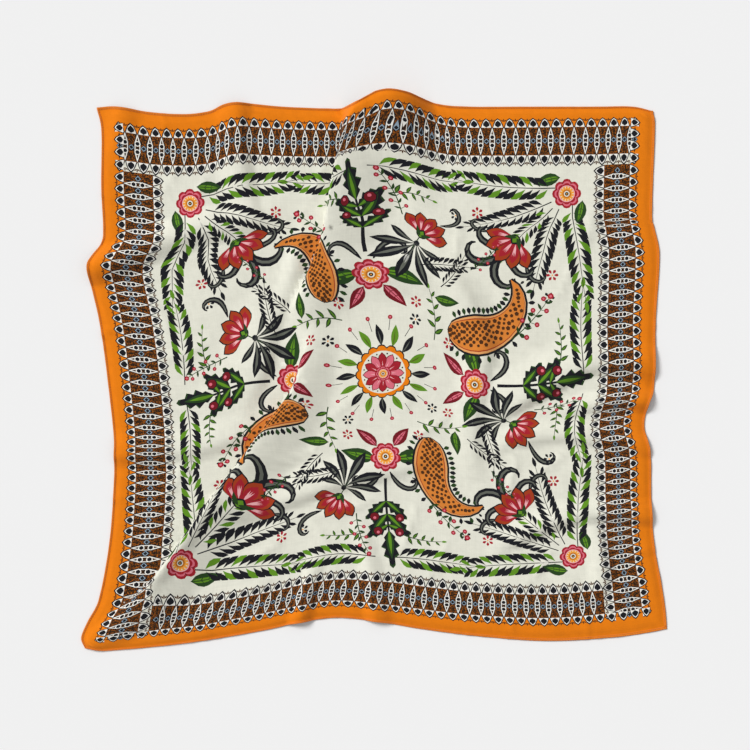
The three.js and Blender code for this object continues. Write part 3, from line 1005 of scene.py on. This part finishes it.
def cotton_lawn():
    """Printed cotton lawn, a fine plain weave: matt dyes that vary a little with the
    threads under them, a faint nap that lifts the colour where the cloth turns away."""
    material, tree = new_material("printed cotton lawn")
    where = add_node(tree, "ShaderNodeUVMap", {"uv_map": "cut"}).outputs["UV"]
    # Real threads lie 0.25 mm apart. They are drawn wider, so that a close view shows them.
    normal, slubs = woven_surface(tree, where, *WEAVE)
    dye = add_node(tree, "ShaderNodeAttribute", {"attribute_name": "dye"})
    speckled = add_node(tree, "ShaderNodeAttribute", {"attribute_name": "speckled"})
    # Specks of 1 mm on the border's strip, as the brown dye leaves them
    specks = add_node(tree, "ShaderNodeTexNoise", {"noise_dimensions": "2D"},
                      {"Vector": where, "Scale": 620.0, "Detail": 2.0, "Roughness": 0.6})
    speck_mask = add_node(tree, "ShaderNodeMapRange", {"clamp": True},
                          {"Value": specks.outputs["Fac"], "From Min": 0.45, "From Max": 0.52})
    speck_share = math_of(tree, "MULTIPLY", speck_mask.outputs["Result"],
                          speckled.outputs["Fac"])
    inked = mixed(tree, speck_share, dye.outputs["Color"], linear("#1F150C"))
    # Dye sinks in unevenly, over patches of about 9 mm, and shows the thicker threads
    patches = add_node(tree, "ShaderNodeTexNoise", {"noise_dimensions": "2D"},
                       {"Vector": where, "Scale": 110.0, "Detail": 3.0, "Roughness": 0.55})
    both = math_of(tree, "MULTIPLY_ADD", slubs, 0.7, patches.outputs["Fac"])
    colour = tinted(tree, inked, both, 0.8, 1.6, 0.93, 1.05)
    return surfaced(material, colour, normal, 0.88,
                    {"IOR": 1.5, "Specular IOR Level": 0.14, "Sheen Weight": 0.06,
                     "Sheen Roughness": 0.6})


def hem_lawn(colour):
    """The same lawn turned twice and sewn, a little glossier than the face. Its rolled
    edge is darker on its outer side and underside, and a little in the stitch groove: painted
    shade."""
    material, tree = new_material("turned cotton lawn, painted edge shade")
    where = add_node(tree, "ShaderNodeUVMap", {"uv_map": "cut"}).outputs["UV"]
    normal, slubs = woven_surface(tree, where, *WEAVE)
    # Painted shade: the colour darkens towards #B4650F where the hem section's last column is
    # high, on the rolled edge's outer side and underside
    edge = add_node(tree, "ShaderNodeAttribute", {"attribute_name": "edge_shade"})
    shaded_at_edge = mixed(tree, edge.outputs["Fac"], tuple(colour) + (1.0,), linear("#B4650F"))
    return surfaced(material, tinted(tree, shaded_at_edge, slubs, 0.6, 1.4, 0.93, 1.06), normal, 0.82,
                    {"IOR": 1.5, "Specular IOR Level": 0.3, "Sheen Weight": 0.15,
                     "Sheen Roughness": 0.6})


def spun_thread(colour):
    """Spun cotton sewing thread: a tight twist with a soft shine along its plies."""
    material, tree = new_material("spun cotton sewing thread")
    where = add_node(tree, "ShaderNodeTexCoord").outputs["Object"]
    # Twist of 0.35 mm, as on a three-ply thread
    twist = add_node(tree, "ShaderNodeTexWave",
                     {"wave_type": "BANDS", "bands_direction": "DIAGONAL"},
                     {"Vector": where, "Scale": 0.314 / 0.00035, "Distortion": 0.3})
    plies = twist.outputs["Fac"]
    # The colour is darker where the twist's bump is low and lighter where it is high: painted
    # shade in the grooves between the plies and a painted highlight on them
    return surfaced(material, tinted(tree, tuple(colour), plies, 0.0, 1.0, 0.8, 1.1),
                    bumped(tree, 0.6, 0.00005, plies), 0.6, {"IOR": 1.5, "Sheen Weight": 0.2})


def table_paper(colour):
    """Pale matt background paper with a faint tooth, which shows soft shadows."""
    material, tree = new_material("matt background paper")
    where = add_node(tree, "ShaderNodeTexCoord").outputs["Object"]
    tooth = add_node(tree, "ShaderNodeTexNoise", None,
                     {"Vector": where, "Scale": 900.0, "Detail": 2.0})
    return surfaced(material, tuple(colour) + (1.0,),
                    bumped(tree, 0.1, 0.0001, tooth.outputs["Fac"]), 0.95,
                    {"Specular IOR Level": 0.1})


# Settings that a user would change

class ScarfSizes(bpy.types.PropertyGroup):
    thickness: FloatProperty(
        name="Cloth thickness", description="Thickness of the cotton lawn",
        default=0.0005, unit="LENGTH", precision=4)
    grid: FloatProperty(
        name="Grid", description="Distance between the places that follow the folds",
        default=0.006, unit="LENGTH", precision=4)
    hem_width: FloatProperty(
        name="Hem width", description="Width of the turned edge",
        default=0.0043, unit="LENGTH", precision=4)
    stitch_pitch: FloatProperty(
        name="Stitch pitch", description="Distance from one stitch to the next",
        default=0.0028, unit="LENGTH", precision=4)
    stitch_length: FloatProperty(
        name="Stitch length", description="Length of thread that shows in each stitch",
        default=0.0022, unit="LENGTH", precision=4)
    thread: FloatProperty(
        name="Thread", description="Diameter of the sewing thread",
        default=0.0004, unit="LENGTH", precision=5)
    thread_sides: IntProperty(
        name="Thread sides", description="Sides of each stitch", default=5, min=3, max=8)


class ScarfColours(bpy.types.PropertyGroup):
    hem: FloatVectorProperty(
        name="Hem", description="Colour of the turned edge", subtype="COLOR",
        default=linear("#E57C08")[:3], min=0, max=1)
    thread: FloatVectorProperty(
        name="Thread", description="Colour of the sewing thread", subtype="COLOR",
        default=linear("#D07010")[:3], min=0, max=1)
    floor: FloatVectorProperty(
        name="Floor", description="Colour of the table", subtype="COLOR",
        default=linear("#F4F4F4")[:3], min=0, max=1)


# The pieces

class SCARF_OT_cloth(bpy.types.Operator):
    """Cut, print and lay out the cloth"""
    bl_idname = "scarf.cloth"
    bl_label = "Printed cloth"

    def execute(self, context):
        sizes = context.scene.scarf_sizes
        half = HALF - TRIMMED
        thickness = sizes.thickness * 1000
        shapes = whole_print()
        grid = grid_points(half, sizes.grid * 1000)
        face, face_triangles, top = cut_into_triangles(grid, [line for _, line in shapes])
        reverse, reverse_triangles, _ = cut_into_triangles(grid, [shapes[0][1]])

        place, normal = laid_with_normals(*face.T)
        under, under_normal = laid_with_normals(*reverse.T)
        under -= under_normal * hollow(reverse, sizes.grid * 1000)[:, None]
        under[:, 2] = np.maximum(under[:, 2], 0)
        points = np.concatenate([place + thickness * normal, under])
        first = len(face)
        face_rim, reverse_rim = rim_order(face, half), rim_order(reverse, half) + first
        if len(face_rim) != len(reverse_rim):
            raise RuntimeError("the two sides of the cloth have different rims")
        next_face, next_reverse = np.roll(face_rim, -1), np.roll(reverse_rim, -1)
        wall = np.concatenate([np.stack([reverse_rim, next_reverse, face_rim], axis=1),
                               np.stack([next_reverse, next_face, face_rim], axis=1)])
        faces = np.concatenate([face_triangles, reverse_triangles[:, ::-1] + first, wall])
        cloth = mesh_object("printed_cloth", points, faces, [cotton_lawn()])
        mesh = cloth.data

        # The face takes its dye by shape, and the reverse shows it paler through the cloth
        palette = np.array([linear(DYES[dye]) for dye, _ in shapes])
        face_dye = palette[top]
        tree = KDTree(len(face_triangles))
        for k, centre in enumerate(face[face_triangles].mean(axis=1)):
            tree.insert((*centre, 0), k)
        tree.balance()
        nearest = [tree.find((x, y, 0))[1] for x, y in reverse]
        bare = np.array(linear(DYES["white"]))
        reverse_dye = (1 - SHOWS_THROUGH) * bare + SHOWS_THROUGH * face_dye[nearest]
        dye = mesh.color_attributes.new("dye", "FLOAT_COLOR", "CORNER")
        wall_dye = np.tile(palette[0], (3 * len(wall), 1))
        corner_dye = np.concatenate([np.repeat(face_dye, 3, axis=0),
                                     reverse_dye[reverse_triangles[:, ::-1]].reshape(-1, 4),
                                     wall_dye])
        dye.data.foreach_set("color", corner_dye.astype(np.float32).ravel())
        strips = {k for k, (name, _) in enumerate(shapes) if name in ("strip", "soil")}
        speckled = mesh.attributes.new("speckled", "FLOAT", "FACE")
        speckled.data.foreach_set("value", np.concatenate(
            [[float(k in strips) for k in top], np.zeros(len(faces) - len(top))]
        ).astype(np.float32))

        # One map in metres for the weave, and one that holds both sides for baking
        cut = np.concatenate([face, reverse])
        add_uv(mesh, "cut", cut / 1000)
        share = (cut + HALF) / SIDE
        bake = np.where((np.arange(len(cut)) < first)[:, None], 0.86 * share,
                        0.865 + 0.13 * share)
        add_uv(mesh, "OFBake", bake)
        mesh.normals_split_custom_set_from_vertices(
            np.concatenate([normal, -under_normal]).tolist())

        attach(cloth, "root")
        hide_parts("cloth")
        return {"FINISHED"}


# Section of a hem. Columns: distance in from the cut edge, height above the underside, and
# how much painted shade darkens it, in millimetres and a share.
HEM_SECTION = [
    (4.3, 0.02, 0.1), (4.35, 0.62, 0.1), (4.0, 0.92, 0.05), (3.4, 1.0, 0.12),
    (3.1, 0.92, 0.2), (2.8, 1.02, 0.12), (2.1, 1.45, 0.05), (1.2, 1.6, 0.15),
    (0.5, 1.35, 0.45), (0.08, 0.85, 0.75), (0.12, 0.35, 0.9), (0.6, 0.02, 0.9),
]
STITCH_LINE = 3.1      # how far the stitches lie in from the cut edge
STITCH_GROOVE = 0.94   # height of the groove that they lie in
HEM_GAP = 0.05         # how far a hem stops before the cut corner or before the next hem
HEM_PUFF = 0.10        # share by which the hem swells between two stitches
HEM_SWELL = 0.12       # share by which its height wanders
HEM_WANDER = 0.10      # millimetres by which its outer rim wanders

# Quarter turns from the far side, and whether the hem runs on through both corners
HEMS = {"back": (0, True), "left": (1, False), "front": (2, True), "right": (3, False)}


def hem_places(quarters, along_side, inset):
    """Places in the cut cloth, from places along one side and distances in from it."""
    spot = (-along_side + 1j * (HALF - inset)) * 1j ** quarters
    return spot.real, spot.imag


class SCARF_OT_hems(bpy.types.Operator):
    """Turn the four hems"""
    bl_idname = "scarf.hems"
    bl_label = "Turned hems"

    def execute(self, context):
        sizes, colours = context.scene.scarf_sizes, context.scene.scarf_colours
        material = hem_lawn(colours.hem)
        section = np.array(HEM_SECTION)
        stretch = sizes.hem_width * 1000 / section[:, 0].max()
        step = sizes.stitch_pitch * 1000 / 4
        for name, (quarters, full) in HEMS.items():
            end = HALF - (HEM_GAP if full else sizes.hem_width * 1000 + HEM_GAP)
            count = int(2 * end / step)
            beside = np.linspace(-end, end, count + 1)
            s = np.repeat(beside, len(section))
            inset = np.tile(section[:, 0], len(beside)) * stretch
            height = np.tile(section[:, 1], len(beside))
            # The stitches draw the edge in, and the layers under them puff up between
            pulled = np.sin(2 * np.pi * s / (sizes.stitch_pitch * 1000))
            uneven = np.sin(s / 6.1 + quarters) * np.sin(s / 17.3 + 2 * quarters)
            inset = inset + HEM_WANDER * uneven * (inset < 1.5)
            height = height * (1 + HEM_PUFF * pulled + HEM_SWELL * uneven)
            # A full hem's ends are rounded off
            left_over = np.clip((HALF - abs(s)) / 1.2, 0, 1) if full else 1.0
            height = height * (0.35 + 0.65 * np.sqrt(left_over))
            x, y = hem_places(quarters, s, inset)
            place, normal = laid_with_normals(x, y)
            points = place + normal * height[:, None]
            points[:, 2] = np.maximum(points[:, 2], 0.01)
            ring = len(section)
            i, k = np.meshgrid(np.arange(count), np.arange(ring), indexing="ij")
            a, b = (i * ring + k).ravel(), (i * ring + (k + 1) % ring).ravel()
            quads = np.stack([a, a + ring, b + ring, b], axis=1).tolist()
            caps = [list(range(ring)), [count * ring + k for k in reversed(range(ring))]]
            hem = bpy.data.meshes.new(f"hem_{name}")
            hem.from_pydata((points / 1000).tolist(), [], quads + caps)
            hem.polygons.foreach_set("use_smooth", [True] * len(quads) + [False] * 2)
            hem.materials.append(material)
            piece = linked(f"turned_hem_{name}", hem)
            add_uv(hem, "cut", np.stack([s, inset * 1.6], axis=1) / 1000)
            # Painted shade along the rolled edge's outer side and underside, from the section's
            # last column
            edge_shade = hem.attributes.new("edge_shade", "FLOAT", "POINT")
            edge_shade.data.foreach_set(
                "value", np.tile(section[:, 2], len(beside)).astype(np.float32))
            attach(piece, "root")
            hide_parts(f"hem_{name}")
        return {"FINISHED"}


def stitch_tree(material):
    """Nodes that lay a stitch at even steps along every line of the mesh."""
    tree = bpy.data.node_groups.new("machine stitches", "GeometryNodeTree")
    sockets = {}
    for name, kind, in_out in (
            ("Geometry", "NodeSocketGeometry", "INPUT"), ("Pitch", "NodeSocketFloat", "INPUT"),
            ("Length", "NodeSocketFloat", "INPUT"), ("Thread", "NodeSocketFloat", "INPUT"),
            ("Sides", "NodeSocketInt", "INPUT"), ("Geometry", "NodeSocketGeometry", "OUTPUT")):
        socket = tree.interface.new_socket(name=name, in_out=in_out, socket_type=kind)
        if in_out == "INPUT":
            sockets[name] = socket.identifier
    given = add_node(tree, "NodeGroupInput").outputs
    curve = add_node(tree, "GeometryNodeMeshToCurve", None, {"Mesh": given["Geometry"]})
    stops = add_node(tree, "GeometryNodeResampleCurve", {"mode": "LENGTH"},
                     {"Curve": curve.outputs["Curve"], "Length": given["Pitch"]})
    tangent = add_node(tree, "GeometryNodeInputTangent")
    turn = add_node(tree, "FunctionNodeAlignRotationToVector", {"axis": "Z"},
                    {"Vector": tangent.outputs["Tangent"]})
    # Thread of round section whose ends dip into the cloth
    half = add_node(tree, "ShaderNodeMath", {"operation": "MULTIPLY"},
                    {0: given["Length"], 1: 0.5})
    ball = add_node(tree, "GeometryNodeMeshUVSphere", None,
                    {"Segments": given["Sides"], "Rings": 5, "Radius": 1.0})
    radius = add_node(tree, "ShaderNodeMath", {"operation": "MULTIPLY"},
                      {0: given["Thread"], 1: 0.5})
    size = add_node(tree, "ShaderNodeCombineXYZ", None,
                    {"X": radius.outputs[0], "Y": radius.outputs[0], "Z": half.outputs[0]})
    laid_on = add_node(tree, "GeometryNodeInstanceOnPoints", None,
                       {"Points": stops.outputs["Curve"], "Instance": ball.outputs["Mesh"],
                        "Rotation": turn.outputs["Rotation"], "Scale": size.outputs["Vector"]})
    real = add_node(tree, "GeometryNodeRealizeInstances", None,
                    {"Geometry": laid_on.outputs["Instances"]})
    finished = add_node(tree, "GeometryNodeSetMaterial", None,
                        {"Geometry": real.outputs["Geometry"], "Material": material})
    add_node(tree, "NodeGroupOutput", None, {"Geometry": finished.outputs["Geometry"]})
    return tree, sockets


class SCARF_OT_stitches(bpy.types.Operator):
    """Sew the line of machine stitches along every hem"""
    bl_idname = "scarf.stitches"
    bl_label = "Hem stitches"

    def execute(self, context):
        sizes, colours = context.scene.scarf_sizes, context.scene.scarf_colours
        material = spun_thread(colours.thread)
        lines, edges = [], []
        end = HALF - STITCH_LINE
        beside = np.linspace(-end, end, 460)
        for quarters, _ in HEMS.values():
            x, y = hem_places(quarters, beside, np.full(len(beside), STITCH_LINE))
            place, normal = laid_with_normals(x, y)
            first = len(lines) * len(beside)
            lines.append(place + normal * (STITCH_GROOVE + sizes.thread * 500))
            edges += [(first + k, first + k + 1) for k in range(len(beside) - 1)]
        guide = bpy.data.meshes.new("stitch lines")
        guide.from_pydata((np.concatenate(lines) / 1000).tolist(), edges, [])
        carrier = linked("stitch lines", guide)
        tree, sockets = stitch_tree(material)
        sewn = carrier.modifiers.new("stitches", "NODES")
        sewn.node_group = tree
        for name, value in (("Pitch", sizes.stitch_pitch), ("Length", sizes.stitch_length),
                            ("Thread", sizes.thread), ("Sides", sizes.thread_sides)):
            sewn[sockets[name]] = value
        evaluated = carrier.evaluated_get(context.evaluated_depsgraph_get())
        mesh = bpy.data.meshes.new_from_object(evaluated)
        mesh.name = "hem_stitches"
        bpy.data.objects.remove(carrier)
        if not mesh.polygons:
            raise RuntimeError("the stitches came out empty")
        mesh.polygons.foreach_set("use_smooth", [True] * len(mesh.polygons))
        piece = linked("hem_stitches", mesh)
        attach(piece, "root")
        return {"FINISHED"}


class SCARF_OT_stage(bpy.types.Operator):
    """Set up the table, the soft studio light and the camera above it"""
    bl_idname = "scarf.stage"
    bl_label = "Table, light and camera"

    def execute(self, context):
        scene = context.scene
        reach = 6000
        corners = [(-reach, -reach, 0), (reach, -reach, 0), (reach, reach, 0), (-reach, reach, 0)]
        floor = mesh_object("table", corners, [(0, 1, 2, 3)],
                            [table_paper(scene.scarf_colours.floor)], smooth=False)

        world = bpy.data.worlds.new("studio")
        world.use_nodes = True
        world.node_tree.nodes.clear()
        sky = add_node(world.node_tree, "ShaderNodeBackground", None,
                       {"Color": (1.0, 1.0, 1.0, 1.0), "Strength": 0.42})
        add_node(world.node_tree, "ShaderNodeOutputWorld", None,
                 {"Surface": sky.outputs["Background"]})
        scene.world = world

        # A large far softbox, seen from the scarf as a bright disc 24 degrees across
        lamp = bpy.data.lights.new("softbox", "SUN")
        lamp.energy, lamp.angle = 2.6, math.radians(24)
        box = linked("softbox", lamp)
        box.rotation_euler = Vector((1.0, -0.75, -1.1)).to_track_quat("-Z", "Y").to_euler()

        # Straight above, so that 750 pixels span 810 mm of the table
        span, lens, sensor = 0.810, 85.0, 36.0
        view = bpy.data.cameras.new("above")
        view.lens, view.sensor_width = lens, sensor
        camera = linked("above", view)
        camera.location = (0.00061, -0.00241, span * lens / sensor)
        scene.camera = camera
        scene.view_settings.view_transform = "Standard"
        return {"FINISHED"}


class SCARF_PT_panel(bpy.types.Panel):
    """Lists the scarf's pieces and their sizes"""
    bl_label = "Printed cotton scarf"
    bl_idname = "SCARF_PT_panel"
    bl_space_type = "VIEW_3D"
    bl_region_type = "UI"
    bl_category = "Scarf"

    def draw(self, context):
        for group in (context.scene.scarf_sizes, context.scene.scarf_colours):
            for name in group.__annotations__:
                self.layout.prop(group, name)
        for operator in PIECES:
            self.layout.operator(operator.bl_idname)


PIECES = (SCARF_OT_stage, SCARF_OT_cloth, SCARF_OT_hems, SCARF_OT_stitches)
CLASSES = (ScarfSizes, ScarfColours, *PIECES, SCARF_PT_panel)


def register():
    for one in CLASSES:
        bpy.utils.register_class(one)
    bpy.types.Scene.scarf_sizes = PointerProperty(type=ScarfSizes)
    bpy.types.Scene.scarf_colours = PointerProperty(type=ScarfColours)


def unregister():
    del bpy.types.Scene.scarf_sizes, bpy.types.Scene.scarf_colours
    for one in reversed(CLASSES):
        bpy.utils.unregister_class(one)


def main():
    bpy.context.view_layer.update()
    register()
    bpy.ops.scarf.stage()
    bpy.ops.scarf.cloth()
    bpy.ops.scarf.hems()
    bpy.ops.scarf.stitches()


if __name__ == "__main__":
    main()
